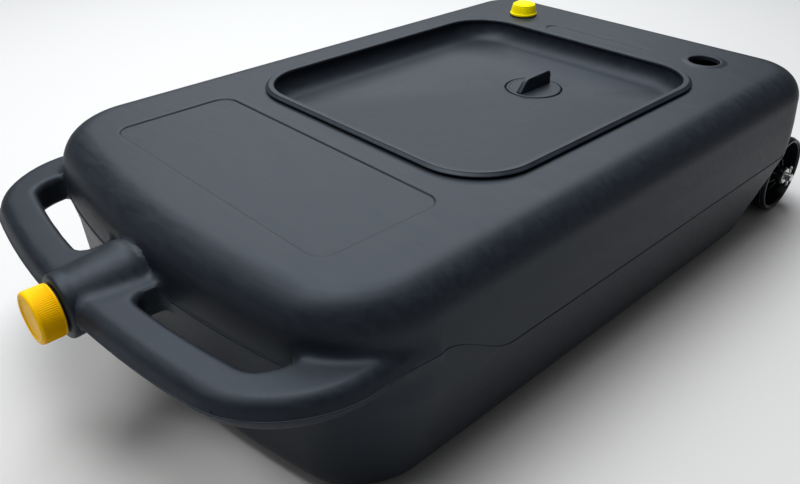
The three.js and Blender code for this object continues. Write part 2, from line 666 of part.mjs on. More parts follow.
// A deep-dished wheel: tread band, web near the inner face, and a hub to both faces.
function makeWheel(side) {
  const inner = WHEEL_OUTER_FACE - WHEEL_WIDTH;
  const outer = WHEEL_OUTER_FACE;
  const web = [inner + WEB_SETBACK, inner + WEB_SETBACK + WEB_THICKNESS];
  const bandInside = WHEEL_RADIUS - BAND_THICKNESS;
  return onAxle(side, turned([
    [WHEEL_BORE_RADIUS, inner - HUB_PROUD], [HUB_RADIUS, inner - HUB_PROUD], [HUB_RADIUS, web[0]],
    [bandInside, web[0]], [bandInside + BAND_DRAFT, inner], [WHEEL_RADIUS - TREAD_EDGE, inner],
    [WHEEL_RADIUS, inner + TREAD_EDGE], [WHEEL_RADIUS, outer - TREAD_EDGE], [WHEEL_RADIUS - TREAD_EDGE, outer],
    [bandInside + BAND_DRAFT, outer], [bandInside, web[1]], [HUB_RADIUS, web[1]],
    [HUB_RADIUS, outer + HUB_PROUD], [WHEEL_BORE_RADIUS, outer + HUB_PROUD],
    [WHEEL_BORE_RADIUS, inner - HUB_PROUD],
  ], 48));
}

function makeWasher(side, from) {
  return onAxle(side, ring(AXLE_RADIUS + GAP, WASHER_RADIUS, from, from + WASHER_THICKNESS, 24));
}

// A split pin: a round eye above the axle and one leg pair through the cross hole.
function makeSplitPin(side) {
  const leg = disc(PIN_WIRE / 2, -PIN_LENGTH / 2, PIN_LENGTH / 2 - 3, 12);
  const eye = new THREE.TorusGeometry(3.2, PIN_WIRE / 2 - 0.3, 8, 16);
  eye.rotateX(Math.PI / 2).translate(0, 0, PIN_LENGTH / 2 - 1);
  return toSolid(leg).add(toSolid(eye)).translate([side * pinX, AXLE_Y, AXLE_Z]);
}

// A steel strap over the back of the axle with a flat foot above and below it.
function makeAxleClip(side) {
  const face = GAP;
  const bend = AXLE_RADIUS + 2 * GAP;
  const foot = BRACKET_HALF_HEIGHT - 1;
  const profile = new THREE.Shape();
  profile.moveTo(face, -foot);
  profile.lineTo(face + CLIP_THICKNESS, -foot);
  profile.lineTo(face + CLIP_THICKNESS, -bend - CLIP_THICKNESS);
  profile.absarc(0, 0, bend + CLIP_THICKNESS, -Math.PI / 2 + 0.28, Math.PI / 2 - 0.28, false);
  profile.lineTo(face + CLIP_THICKNESS, bend + CLIP_THICKNESS);
  profile.lineTo(face + CLIP_THICKNESS, foot);
  profile.lineTo(face, foot);
  profile.lineTo(face, bend);
  profile.absarc(0, 0, bend, Math.PI / 2 - 0.05, -Math.PI / 2 + 0.05, true);
  profile.lineTo(face, -bend);
  profile.closePath();
  const strap = new THREE.ExtrudeGeometry(profile, { depth: CLIP_WIDTH, bevelEnabled: false, curveSegments: 6 });
  strap.rotateX(Math.PI / 2).rotateZ(Math.PI / 2);
  strap.translate(side * BRACKET_X - CLIP_WIDTH / 2, AXLE_Y, AXLE_Z);
  const holes = [-1, 1].map((end) => {
    const hole = disc(2.6, -AXLE_Y - 10, -AXLE_Y + 10, 12).rotateX(Math.PI / 2);
    return toSolid(hole.translate(side * BRACKET_X, 0, AXLE_Z + end * SCREW_SPACING));
  });
  return cutBy(toSolid(strap), holes);
}

function makeClipScrew(side, end) {
  const head = GAP + CLIP_THICKNESS + GAP;
  const screw = turned([
    [0, -12], [1.8, -11], [1.8, head], [SCREW_HEAD_RADIUS, head], [SCREW_HEAD_RADIUS - 0.6, head + 2.6],
    [2.2, head + 3], [2.2, head + 1.2], [0, head + 1.2],
  ], 20);
  screw.rotateX(-Math.PI / 2);
  return toSolid(screw.translate(side * BRACKET_X, AXLE_Y, AXLE_Z + end * SCREW_SPACING));
}

// ---------------------------------------------------------------- assembly

const assembly = new THREE.Group();

function place(name, solid, material) {
  const mesh = new THREE.Mesh(toGeometry(solid), material());
  mesh.name = name;
  assembly.add(mesh);
}

place('tank_base_front', makeBaseFront(), MATERIALS.tank);
place('tank_base_rear', makeBaseRear(), MATERIALS.tank);
place('tank_top', makeTankTop(), MATERIALS.tank);
place('spout_neck', makeSpoutNeck(), MATERIALS.tank);
place('vent_neck', makeVentNeck(), MATERIALS.tank);
place('port_lip', makePortLip(), MATERIALS.tank);
place('drain_tray', makeTray(), MATERIALS.tray);
place('tray_seal', makeTraySeal(), MATERIALS.rubber);
place('drain_plug', makePlug(), MATERIALS.tray);
place('drain_plug_seal', makePlugSeal(), MATERIALS.rubber);
place('spout_cap', makeSpoutCap(), MATERIALS.yellow);
place('spout_cap_liner', makeSpoutLiner(), MATERIALS.rubber);
place('vent_cap', makeVentCap(), MATERIALS.yellow);
place('vent_cap_liner', makeVentLiner(), MATERIALS.rubber);
place('axle', makeAxle(), MATERIALS.steel);

for (const [hand, side] of [['left', -1], ['right', 1]]) {
  place(`handle_${hand}`, makeHandleHalf(side), MATERIALS.tank);
  place(`wheel_${hand}`, makeWheel(side), MATERIALS.black);
  place(`outer_washer_${hand}`, makeWasher(side, outerWasherX), MATERIALS.steel);
  place(`inner_washer_${hand}`, makeWasher(side, innerHubX - GAP - WASHER_THICKNESS), MATERIALS.steel);
  place(`split_pin_${hand}`, makeSplitPin(side), MATERIALS.steel);
  place(`axle_clip_${hand}`, makeAxleClip(side), MATERIALS.steel);
  place(`clip_screw_upper_${hand}`, makeClipScrew(side, 1), MATERIALS.steel);
  place(`clip_screw_lower_${hand}`, makeClipScrew(side, -1), MATERIALS.steel);
}

export default assembly;
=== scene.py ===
"""Rolling oil drain pan: the looks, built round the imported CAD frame.

The tank is one blow-moulded shell. Its outside is a signed distance field, so that walls, handle
and spout neck run into each other with soft fillets, and crisp details are joined on or cut out
afterwards. Every other piece is a turned, swept or extruded skin.

Shapes are worked out in millimetres, in the frame's axes, and turned into metres in new_mesh().
"""

import math

import bmesh
import bpy
import numpy as np
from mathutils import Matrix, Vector


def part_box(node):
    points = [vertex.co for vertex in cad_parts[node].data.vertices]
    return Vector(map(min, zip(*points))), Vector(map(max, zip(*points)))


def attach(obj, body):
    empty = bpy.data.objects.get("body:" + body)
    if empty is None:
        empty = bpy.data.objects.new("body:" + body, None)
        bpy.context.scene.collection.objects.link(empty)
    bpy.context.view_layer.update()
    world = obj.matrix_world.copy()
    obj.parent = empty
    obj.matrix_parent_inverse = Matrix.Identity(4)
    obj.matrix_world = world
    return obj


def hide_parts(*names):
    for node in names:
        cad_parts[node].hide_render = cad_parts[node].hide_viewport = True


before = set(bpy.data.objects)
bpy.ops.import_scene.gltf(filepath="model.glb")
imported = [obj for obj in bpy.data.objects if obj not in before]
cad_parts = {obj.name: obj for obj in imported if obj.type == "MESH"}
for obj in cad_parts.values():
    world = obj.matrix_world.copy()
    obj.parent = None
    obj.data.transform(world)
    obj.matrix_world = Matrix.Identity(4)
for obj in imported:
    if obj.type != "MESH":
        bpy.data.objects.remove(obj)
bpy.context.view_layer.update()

# ------------------------------------------------------------------ sizes read from the frame


def box_mm(node):
    """Lowest and highest corner of a CAD node, in millimetres."""
    low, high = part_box(node)
    return np.array(low) * 1000, np.array(high) * 1000


base_high = box_mm("tank_base_front")[1]
top_high = box_mm("tank_top")[1]
handle_low, handle_high = box_mm("handle_right")
neck_low = box_mm("spout_neck")[0]
vent_low, vent_high = box_mm("vent_neck")
port_low, port_high = box_mm("port_lip")
tray_low, tray_high = box_mm("drain_tray")
plug_low, plug_high = box_mm("drain_plug")
spout_low, spout_high = box_mm("spout_cap")
vent_cap_low, vent_cap_high = box_mm("vent_cap")
axle_low, axle_high = box_mm("axle")

# Tank body
TANK_TOP = top_high[2]
TANK_HALF_WIDTH = base_high[0]
TANK_REAR = top_high[1]
PARTING_HEIGHT = 121  # the widest level, where the mould line runs along the sides and the rear
BASE_TAPER = 15  # the walls come in by this much at each side, from the parting line to the floor
HANDLE_LEVEL_TAPER = 1.5
SHOULDER_TAPER = 4
FRONT_WALL = -436  # on the centre line, at handle height
BASE_FRONT_SETBACK = 13  # how far behind that the front wall is at the other levels
PARTING_FRONT_SETBACK = 8
SHOULDER_FRONT_SETBACK = 2
BASE_REAR_SETBACK = 6
FRONT_BOW = 1000
FRONT_CORNER = 88  # at handle height and above
PARTING_FRONT_CORNER = 74
BASE_FRONT_CORNER = 68
REAR_CORNER = 82
SHOULDER_ROUND = 41
BASE_ROUND = 32
WALL = 5
TANK_GRID = 4.7  # cell of the grid that the outside is meshed on
CAVITY_GRID = 14.0
PAST = 9  # how far a cutter runs past the face that it opens

# Wheel pockets and the step below the rear wall
POCKET_INNER = 230
POCKET_CEILING = 152
POCKET_FOOT = 333
POCKET_SLOPE = 0.78
STEP_FACE = 470
STEP_HEIGHT = 104

# Grab handle and spout neck
HANDLE_HEIGHT = (handle_low[2] + handle_high[2]) / 2
HANDLE_HALF_DEPTH = (handle_high[2] - handle_low[2]) / 2
HANDLE_HALF_WIDTH = 300
HANDLE_FRONT = handle_low[1]
HANDLE_BOW = 1100
HANDLE_CORNER = 94
HANDLE_ROOT = -300  # the handle's roots lie along the tank's sides as far back as this
HANDLE_SLOPE = 0.42  # its outer face leans inwards, away from the parting line
BAR_WIDTH = 46
WINDOW_INNER = 56
WINDOW_OUTER = 234
NECK_COLLAR_RADIUS = 34
NECK_ROOT_RADIUS = 42
COLLAR_FRONT = -518.5
NECK_THREAD_PITCH = 4.5

# Deck fittings
VENT_CENTRE = (vent_low + vent_high)[:2] / 2
PORT_CENTRE = (port_low + port_high)[:2] / 2
VENT_BORE = 13
VENT_NECK = 17.4
PORT_BORE = 22
SPOUT_BORE = 18
SPOUT_THREAD = 22.6

# Panels sunk into the deck, ahead of the tray and behind it
FRONT_PANEL = {"half_width": 196, "half_length": 79.5, "radius": 20, "depth": 1.9, "centre": (0, -269.5)}
REAR_PANEL = {"half_width": 91, "half_length": 11.5, "radius": 11, "depth": 1.6, "centre": (-7, 368.5)}

# Drain tray, from its rim's outline
TRAY_CENTRE_Y = (tray_low[1] + tray_high[1]) / 2
RIM_HALF_WIDTH = tray_high[0]
RIM_HALF_LENGTH = (tray_high[1] - tray_low[1]) / 2
RIM_CORNER = 81
RIM_TOP = tray_high[2]
OPENING_INSET = 6  # from the rim's outline to the opening in the tank's top
DRAIN_Y = (plug_low[1] + plug_high[1]) / 2
PLUG_RADIUS = plug_high[0]
SEAT_HEIGHT = 197
SEAT_DEPTH = 6
FLOOR_EDGE_HEIGHT = 209.5
TRAY_FILLET = 26.0
PLUG_THREAD_PITCH = 6

# Axle and wheels
AXLE_Y = (axle_low[1] + axle_high[1]) / 2
AXLE_Z = (axle_low[2] + axle_high[2]) / 2
AXLE_RADIUS = 6
GROOVE_RADIUS = 6.3  # of the groove through both pads, and of the washers' holes
WHEEL_BORE = 6.4
HUB_PROUD = 2
BAND_THICKNESS = 7
WEB_SETBACK = 13
WEB_THICKNESS = 5

AT_HANDLE = (0, 0, HANDLE_HEIGHT)
AT_VENT = (*VENT_CENTRE, 0)
AT_PORT = (*PORT_CENTRE, 0)
AT_DRAIN = (0, DRAIN_Y, 0)
AT_AXLE = (0, AXLE_Y, AXLE_Z)

# ------------------------------------------------------------------ meshes


def new_mesh(name, points, faces, smooth_angle=35):
    """A mesh object in metres, smooth shaded apart from edges sharper than the angle."""
    mesh = bpy.data.meshes.new(name)
    mesh.from_pydata((np.asarray(points, float) / 1000).tolist(), [], [tuple(f) for f in faces])
    mesh.update()
    work = bmesh.new()
    work.from_mesh(mesh)
    bmesh.ops.recalc_face_normals(work, faces=work.faces)
    work.to_mesh(mesh)
    work.free()
    piece = bpy.data.objects.new(name, mesh)
    bpy.context.scene.collection.objects.link(piece)
    shade(piece, smooth_angle)
    return piece


def shade(piece, smooth_angle):
    mesh = piece.data
    mesh.shade_smooth()
    mesh.set_sharp_from_angle(angle=math.radians(smooth_angle))


def skin(rings, closed=False):
    """Faces over an array (rings, points, 3). Unless it is closed, both ends stay open."""
    rings = np.asarray(rings, float)
    levels, count = rings.shape[:2]
    faces = []
    for i in range(levels if closed else levels - 1):
        a = i * count
        b = (i + 1) % levels * count
        for k in range(count):
            n = (k + 1) % count
            faces.append((a + k, a + n, b + n, b + k))
    return rings.reshape(-1, 3), faces


def capped(rings):
    """A skin whose first and last rings are closed by flat faces."""
    points, faces = skin(rings)
    count = len(rings[0])
    last = len(points) - count
    faces.append(tuple(range(count))[::-1])
    faces.append(tuple(range(last, last + count)))
    return points, faces


def merged(parts):
    """One point and face list out of several."""
    points, faces, start = [], [], 0
    for part_points, part_faces in parts:
        points.append(np.asarray(part_points, float))
        faces += [tuple(start + i for i in face) for face in part_faces]
        start += len(part_points)
    return np.concatenate(points), faces


def rounded_profile(corners, steps=4):
    """A polyline through (radius, height, round) corners, each turned into an arc of that round."""
    corners = [np.array(c, float) for c in corners]
    count = len(corners)
    line = []
    for i, corner in enumerate(corners):
        here, size = corner[:2], corner[2]
        if size <= 0:
            line.append(here)
            continue
        back = corners[i - 1][:2] - here
        ahead = corners[(i + 1) % count][:2] - here
        back /= np.linalg.norm(back)
        ahead /= np.linalg.norm(ahead)
        half = math.acos(np.clip(back @ ahead, -1, 1)) / 2
        reach = size / math.tan(half)
        middle = (back + ahead) / np.linalg.norm(back + ahead) * size / math.sin(half)
        start, end = back * reach - middle, ahead * reach - middle
        for k in range(steps + 1):
            mix = start * (1 - k / steps) + end * (k / steps)
            line.append(here + middle + mix / np.linalg.norm(mix) * size)
    return np.array(line)


def turned(profile, segments=96, wave=None):
    """A solid turned about +Z. The profile is a closed loop of (radius, height) that may touch the
    axis; wave(angle, radius, height) may change each ring's radius round the turn."""
    angles = np.linspace(0, 2 * math.pi, segments, endpoint=False)
    profile = np.asarray(profile, float)
    on_axis = profile[:, 0] < 1e-6
    rings = []
    for radius, height in profile:
        r = np.full(segments, radius) if wave is None else wave(angles, radius, height)
        rings.append(np.stack([r * np.cos(angles), r * np.sin(angles), np.full(segments, height)], 1))
    points, faces = skin(rings, closed=not on_axis.any())
    if not on_axis.any():
        return points, faces
    return welded(points, faces)


def welded(points, faces, reach=1e-4):
    """Joins points that coincide, and drops the faces that shrink to nothing."""
    keys = np.round(points / reach).astype(np.int64)
    _, first, inverse = np.unique(keys, axis=0, return_index=True, return_inverse=True)
    inverse = inverse.reshape(-1)
    kept = []
    for face in faces:
        ring = []
        for i in (inverse[k] for k in face):
            if not ring or ring[-1] != i:
                ring.append(int(i))
        if len(ring) > 1 and ring[0] == ring[-1]:
            ring.pop()
        if len(set(ring)) > 2:
            kept.append(tuple(ring))
    return points[first], kept


def moved(part, offset):
    return part[0] + np.asarray(offset, float), part[1]


def along_front(part):
    """Lays a part that stands along +Z so that its top faces the front, -Y."""
    x, y, z = part[0].T
    return np.stack([x, -z, y], 1), part[1]


def along_side(part, side):
    """Lays a part that stands along +Z so that its top faces one side."""
    x, y, z = part[0].T
    return np.stack([side * z, y, -side * x], 1), part[1]


def along_rear(part):
    x, y, z = part[0].T
    return np.stack([x, z, -y], 1), part[1]


def swept(path, section, normals, closed=False):
    """A section of (outwards, upwards) points carried along a path; normals point outwards."""
    path = np.asarray(path, float)
    if closed:
        tangent = np.roll(path, -1, 0) - np.roll(path, 1, 0)
    else:
        tangent = np.gradient(path, axis=0)
    tangent /= np.linalg.norm(tangent, axis=1)[:, None]
    normals = np.asarray(normals, float)
    normals = normals - (normals * tangent).sum(1)[:, None] * tangent
    normals /= np.linalg.norm(normals, axis=1)[:, None]
    upward = np.cross(tangent, normals)
    rings = [p + section[:, :1] * n + section[:, 1:] * u for p, n, u in zip(path, normals, upward)]
    return skin(rings, closed=True) if closed else capped(rings)


def helix(radius, bottom, top, pitch, ridge, steps=48):
    """A thread: one ridge of triangular section wound round +Z, tapered away at both ends."""
    turns = (top - bottom) / pitch
    count = int(turns * steps)
    t = np.linspace(0, 1, count)
    angle = t * turns * 2 * math.pi
    path = np.stack([radius * np.cos(angle), radius * np.sin(angle), bottom + t * (top - bottom)], 1)
    outward = np.stack([np.cos(angle), np.sin(angle), np.zeros(count)], 1)
    fade = np.clip(np.minimum(t, 1 - t) * turns * 5, 0.05, 1)
    section = np.array([(-0.8, -0.9), (-0.8, 0.9), (1.0, 0.25), (1.0, -0.25)])
    tangent = np.gradient(path, axis=0)
    tangent /= np.linalg.norm(tangent, axis=1)[:, None]
    upward = np.cross(tangent, outward)
    rings = []
    for p, n, u, f in zip(path, outward, upward, fade):
        out = np.where(section[:, :1] > 0, section[:, :1] * ridge * f, section[:, :1])
        rings.append(p + out * n + section[:, 1:] * u)
    return capped(rings)


def rounded_rectangle(half_width, half_length, radius, corner_steps=12, side_step=14, centre=(0, 0)):
    """Plan outline of a rounded rectangle, anticlockwise, with evenly divided sides."""
    points = []
    corners = [(1, -1, -90), (1, 1, 0), (-1, 1, 90), (-1, -1, 180)]
    sides = [(2 * (half_length - radius)), (2 * (half_width - radius))] * 2
    for (sx, sy, start), side in zip(corners, sides):
        middle = np.array([sx * (half_width - radius), sy * (half_length - radius)])
        for k in range(corner_steps + 1):
            angle = math.radians(start + 90 * k / corner_steps)
            points.append(middle + radius * np.array([math.cos(angle), math.sin(angle)]))
        parts = max(1, round(side / side_step))
        ahead = math.radians(start + 180)
        step = np.array([math.cos(ahead), math.sin(ahead)]) * side / parts
        points += [points[-1] + step * k for k in range(1, parts)]
    return np.array(points) + np.asarray(centre, float)


def prism(outline, bottom, top):
    """An upright solid over a plan outline."""
    level = lambda z: np.column_stack([outline, np.full(len(outline), z)])
    return capped([level(bottom), level(top)])


# ------------------------------------------------------------------ distance field of the tank


def round_max(a, b, radius):
    """Where both fields are inside, with the edge between them rounded."""
    corner = np.hypot(np.maximum(a + radius, 0), np.maximum(b + radius, 0))
    return np.minimum(np.maximum(a, b), -radius) + corner


def round_min(a, b, radius):
    """Where either field is inside, with a fillet between them."""
    return -round_max(-a, -b, radius)


def bowed_plan(x, y, half_width, front, bow, corner):
    """Straight sides and a front bowed with a large radius, round corners between."""
    return round_max(np.abs(x) - half_width, np.hypot(x, y - front - bow) - bow, corner)


def body_field(x, y, z):
    """The tank's body with its wheel pockets and rear step."""
    levels = [BASE_ROUND, PARTING_HEIGHT, HANDLE_HEIGHT, TANK_TOP - SHOULDER_ROUND]
    tapers = np.array([BASE_TAPER, 0, HANDLE_LEVEL_TAPER, SHOULDER_TAPER])
    setbacks = np.array([BASE_FRONT_SETBACK, PARTING_FRONT_SETBACK, 0, SHOULDER_FRONT_SETBACK])
    half_width = np.interp(z, levels, TANK_HALF_WIDTH - tapers)
    front = np.interp(z, levels, FRONT_WALL + setbacks)
    rear = np.interp(z, levels[:2], [TANK_REAR - BASE_REAR_SETBACK, TANK_REAR])
    corner = np.interp(z, levels[:3], [BASE_FRONT_CORNER, PARTING_FRONT_CORNER, FRONT_CORNER])
    front_plan = bowed_plan(x, y, half_width, front, FRONT_BOW, corner)
    rear_plan = round_max(np.abs(x) - half_width, y - rear, REAR_CORNER)
    plan = np.maximum(front_plan, rear_plan)
    upper = round_max(plan, z - TANK_TOP, SHOULDER_ROUND)
    body = np.maximum(upper, round_max(plan, -z, BASE_ROUND))
    slope = (POCKET_FOOT + POCKET_SLOPE * z - y) / math.hypot(1, POCKET_SLOPE)
    pocket = round_max(round_max(POCKET_INNER - np.abs(x), slope, 12), z - POCKET_CEILING, 14)
    step = round_max(STEP_FACE - y, z - STEP_HEIGHT, 12)
    return round_max(round_max(body, -pocket, 5), -step, 5)


def handle_field(x, y, z):
    """The grab handle with its two hand gaps, and the spout's neck running back over it."""
    outline = bowed_plan(x, y, HANDLE_HALF_WIDTH, HANDLE_FRONT, HANDLE_BOW, HANDLE_CORNER)
    outline = np.maximum(outline, y - HANDLE_ROOT)
    above = np.abs(z - HANDLE_HEIGHT)
    outer_face = (outline + HANDLE_SLOPE * above) / math.hypot(1, HANDLE_SLOPE)
    plate = round_max(outer_face, above - HANDLE_HALF_DEPTH, 9)
    gap = round_max(outline + BAR_WIDTH, WINDOW_INNER - np.abs(x), 14)
    gap = round_max(gap, np.abs(x) - WINDOW_OUTER, 18)
    bar = round_max(plate, -gap, 8)
    neck_ends = [COLLAR_FRONT + 14, FRONT_WALL - 10]
    radius = np.interp(y, neck_ends, [NECK_COLLAR_RADIUS - 0.6, NECK_ROOT_RADIUS])
    neck = round_max(np.hypot(x, z - HANDLE_HEIGHT) - radius, COLLAR_FRONT + 5 - y, 3)
    neck = round_max(neck, y - FRONT_WALL - 14, 28)
    return round_min(bar, neck, 7)


def tank_field(x, y, z):
    return round_min(body_field(x, y, z), handle_field(x, y, z), 8)


def gradient(field, points, reach=0.05):
    slopes = []
    for axis in range(3):
        offset = np.zeros(3)
        offset[axis] = reach
        slopes.append((field(*(points + offset).T) - field(*(points - offset).T)) / (2 * reach))
    return np.stack(slopes, 1)


def onto_surface(field, points, rounds=4):
    """Newton steps that bring points onto the zero surface."""
    for _ in range(rounds):
        slope = gradient(field, points)
        size = np.maximum((slope * slope).sum(1), 0.1)
        points = points - slope * (field(*points.T) / size)[:, None]
    return points


def surface_of(field, low, high, step):
    """A quad mesh over the field's zero surface, by surface nets on a grid."""
    low = np.asarray(low, float)
    counts = [int(np.ceil((b - a) / step)) + 1 for a, b in zip(low, high)]
    axes = [a + step * np.arange(n) for a, n in zip(low, counts)]
    values = field(*np.meshgrid(*axes, indexing="ij"))
    inside = values < 0
    shape = tuple(n - 1 for n in counts)
    corners = [(i, j, k) for i in (0, 1) for j in (0, 1) for k in (0, 1)]
    total = sum(inside[tuple(slice(o, o + s) for o, s in zip(c, shape))].astype(int) for c in corners)
    active = (total > 0) & (total < 8)
    index = np.full(shape, -1)
    index[active] = np.arange(active.sum())
    cells = np.argwhere(active)
    centre, crossings = np.zeros((len(cells), 3)), np.zeros(len(cells))
    for corner in corners:
        for axis in range(3):
            if corner[axis]:
                continue
            other = np.array(corner)
            other[axis] = 1
            a = values[tuple((cells + corner).T)]
            b = values[tuple((cells + other).T)]
            cross = (a < 0) != (b < 0)
            share = a / np.where(cross, a - b, 1)
            place = np.array(corner, float) + np.outer(share, other - np.array(corner))
            centre[cross] += place[cross]
            crossings[cross] += 1
    points = low + (cells + centre / crossings[:, None]) * step
    faces = []
    for axis in range(3):
        u, v = (axis + 1) % 3, (axis + 2) % 3
        first, second = [slice(None)] * 3, [slice(None)] * 3
        first[axis], second[axis] = slice(0, -1), slice(1, None)
        starts_inside = inside[tuple(first)]
        edges = np.argwhere(starts_inside != inside[tuple(second)])
        du, dv = np.eye(3, dtype=int)[u], np.eye(3, dtype=int)[v]
        quads = np.stack([index[tuple((edges - o).T)] for o in (0 * du, du, du + dv, dv)], 1)
        turn = ~starts_inside[tuple(edges.T)]
        quads[turn] = quads[turn][:, ::-1]
        faces.append(quads)
    return onto_surface(field, points), np.concatenate(faces).tolist()


def ridge_along(guide, inward, size=0.8):
    """A fine moulding ridge: guide points are marched inwards onto the tank and a bead is swept."""
    points = np.array(guide, float)
    inward = np.array(inward, float)
    for _ in range(60):
        points = points + inward * np.maximum(tank_field(*points.T), 0)[:, None]
    section = np.array([(-1.2, -1.3), (0.3, -0.9), (1.0, 0), (0.3, 0.9), (-1.2, 1.3)]) * size
    return swept(points, section, gradient(tank_field, points))


# ------------------------------------------------------------------ joining and cutting


def combine(piece, part, operation):
    """Joins a closed part to a piece, or cuts it out of it."""
    tool = new_mesh("tool", *part)
    modifier = piece.modifiers.new("combine", "BOOLEAN")
    modifier.operation = operation
    modifier.solver = "MANIFOLD"
    modifier.object = tool
    result = bpy.data.meshes.new_from_object(piece.evaluated_get(bpy.context.evaluated_depsgraph_get()))
    piece.modifiers.clear()
    old, piece.data = piece.data, result
    bpy.data.meshes.remove(old)
    tool_mesh = tool.data
    bpy.data.objects.remove(tool)
    bpy.data.meshes.remove(tool_mesh)


def ring_part(inner, outer, bottom, top, edge, segments=96):
    """A turned ring with rounded edges."""
    profile = [(inner, bottom, edge), (outer, bottom, edge), (outer, top, edge), (inner, top, edge)]
    return turned(rounded_profile(profile), segments)


def disc_part(radius, bottom, top, edge=0, segments=96):
    """A turned disc; only its top edge is rounded."""
    profile = [(0, bottom, 0), (radius, bottom, 0), (radius, top, edge), (0, top, 0)]
    return turned(rounded_profile(profile), segments)


# ------------------------------------------------------------------ materials


class Finish:
    """A principled material with small helpers for its procedural nodes."""

    def __init__(self, name, roughness, **sockets):
        self.material = bpy.data.materials.new(name)
        self.material.use_nodes = True
        self.nodes = self.material.node_tree.nodes
        self.links = self.material.node_tree.links
        self.shader = self.nodes["Principled BSDF"]
        self.shader.inputs["Roughness"].default_value = roughness
        for socket, value in sockets.items():
            self.shader.inputs[socket.replace("_", " ")].default_value = value
        self.place = self.nodes.new("ShaderNodeTexCoord").outputs["Object"]
        self.height = None

    def stretched(self, scale):
        node = self.nodes.new("ShaderNodeMapping")
        node.inputs["Scale"].default_value = scale
        self.links.new(self.place, node.inputs["Vector"])
        return node.outputs["Vector"]

    def noise(self, scale, detail=4, stretch=None, distortion=0):
        node = self.nodes.new("ShaderNodeTexNoise")
        node.inputs["Scale"].default_value = scale
        node.inputs["Detail"].default_value = detail
        node.inputs["Distortion"].default_value = distortion
        self.links.new(self.stretched(stretch) if stretch else self.place, node.inputs["Vector"])
        return node.outputs["Fac"]

    def spread(self, value, low, high, to_low=0.0, to_high=1.0):
        """Maps a value's range onto another."""
        node = self.nodes.new("ShaderNodeMapRange")
        for socket, number in zip(node.inputs[1:5], (low, high, to_low, to_high)):
            socket.default_value = number
        self.links.new(value, node.inputs[0])
        return node.outputs[0]

    def maths(self, operation, a, b):
        node = self.nodes.new("ShaderNodeMath")
        node.operation = operation
        for socket, value in zip(node.inputs, (a, b)):
            if isinstance(value, (int, float)):
                socket.default_value = value
            else:
                self.links.new(value, socket)
        return node.outputs[0]

    def tint(self, value, colours):
        """Colours along a value from 0 to 1: pairs of position and linear RGB."""
        node = self.nodes.new("ShaderNodeValToRGB")
        ramp = node.color_ramp
        while len(ramp.elements) < len(colours):
            ramp.elements.new(0.5)
        for element, (position, colour) in zip(ramp.elements, colours):
            element.position = position
            element.color = (*colour, 1)
        self.links.new(value, node.inputs["Fac"])
        self.links.new(node.outputs["Color"], self.shader.inputs["Base Color"])

    def rough(self, value):
        self.links.new(value, self.shader.inputs["Roughness"])

    def bump(self, value, depth, strength=1.0):
        """Adds a height, in metres, over the bumps added before."""
        node = self.nodes.new("ShaderNodeBump")
        node.inputs["Strength"].default_value = strength
        node.inputs["Distance"].default_value = depth
        self.links.new(value, node.inputs["Height"])
        if self.height is not None:
            self.links.new(self.height, node.inputs["Normal"])
        self.height = node.outputs["Normal"]
        self.links.new(self.height, self.shader.inputs["Normal"])


def moulded_plastic(name, dark, light, roughness, grain=2600, flow=(3, 14, 14), specular=0.3):
    """Satin moulded polyethylene: cloudy tone, fine grain, faint flow marks and rubbed scuffs."""
    finish = Finish(name, roughness, Specular_IOR_Level=specular)
    finish.shader.inputs["Specular Tint"].default_value = (0.74, 0.86, 1.0, 1)
    cloud = finish.noise(9, 5, flow, 0.6)
    scuff = finish.noise(38, 8, (1, 5, 2), 1.4)
    rubbed = finish.spread(scuff, 0.6, 0.78)
    dust = finish.spread(finish.noise(420, 2), 0.7, 0.8)
    tone = finish.maths("ADD", finish.spread(cloud, 0.3, 0.7, 0, 0.55), finish.maths("MULTIPLY", rubbed, 0.3))
    tone = finish.maths("ADD", tone, finish.maths("MULTIPLY", dust, 0.25))
    finish.tint(tone, [(0, dark), (1, light)])
    sheen = finish.spread(cloud, 0.25, 0.75, roughness - 0.05, roughness + 0.05)
    finish.rough(finish.maths("ADD", sheen, finish.maths("MULTIPLY", rubbed, 0.07)))
    finish.bump(finish.noise(grain, 2), 0.00005, 0.6)
    finish.bump(finish.noise(70, 4, flow, 0.8), 0.00014, 0.5)
    finish.bump(scuff, 0.00012, 0.35)
    return finish


def cap_plastic(name, dark, light, roughness):
    """Glossy injection-moulded colour with a soft clear skin and faint sink marks."""
    finish = Finish(name, roughness, Specular_IOR_Level=0.12, Subsurface_Weight=0.08, Subsurface_Scale=0.004)
    finish.shader.inputs["Specular Tint"].default_value = (1.0, 0.85, 0.4, 1)
    finish.shader.inputs["Subsurface Radius"].default_value = (1.0, 0.6, 0.1)
    cloud = finish.noise(60, 3)
    finish.tint(cloud, [(0.3, dark), (0.7, light)])
    finish.rough(finish.spread(finish.noise(160, 4), 0.3, 0.7, roughness - 0.05, roughness + 0.08))
    finish.bump(finish.noise(900, 2), 0.00004, 0.4)
    return finish


def plated_steel(name):
    """Zinc-plated steel with a spangled tone and drawn lines."""
    finish = Finish(name, 0.3, Metallic=1.0)
    spangle = finish.noise(520, 3, (1, 1, 1), 0.5)
    finish.tint(spangle, [(0.25, (0.42, 0.42, 0.41)), (0.75, (0.75, 0.75, 0.74))])
    finish.rough(finish.spread(finish.noise(300, 4), 0.3, 0.7, 0.2, 0.42))
    finish.bump(finish.noise(2400, 2, (0.15, 1, 1)), 0.00003, 0.6)
    return finish


def soft_rubber(name):
    """Matt black seal rubber with a bloomed surface."""
    finish = Finish(name, 0.85, Specular_IOR_Level=0.25)
    finish.tint(finish.noise(160, 4), [(0.3, (0.006, 0.006, 0.006)), (0.7, (0.016, 0.016, 0.015))])
    finish.rough(finish.spread(finish.noise(90, 3), 0.3, 0.7, 0.75, 0.95))
    finish.bump(finish.noise(1800, 3), 0.00006, 0.6)
    return finish


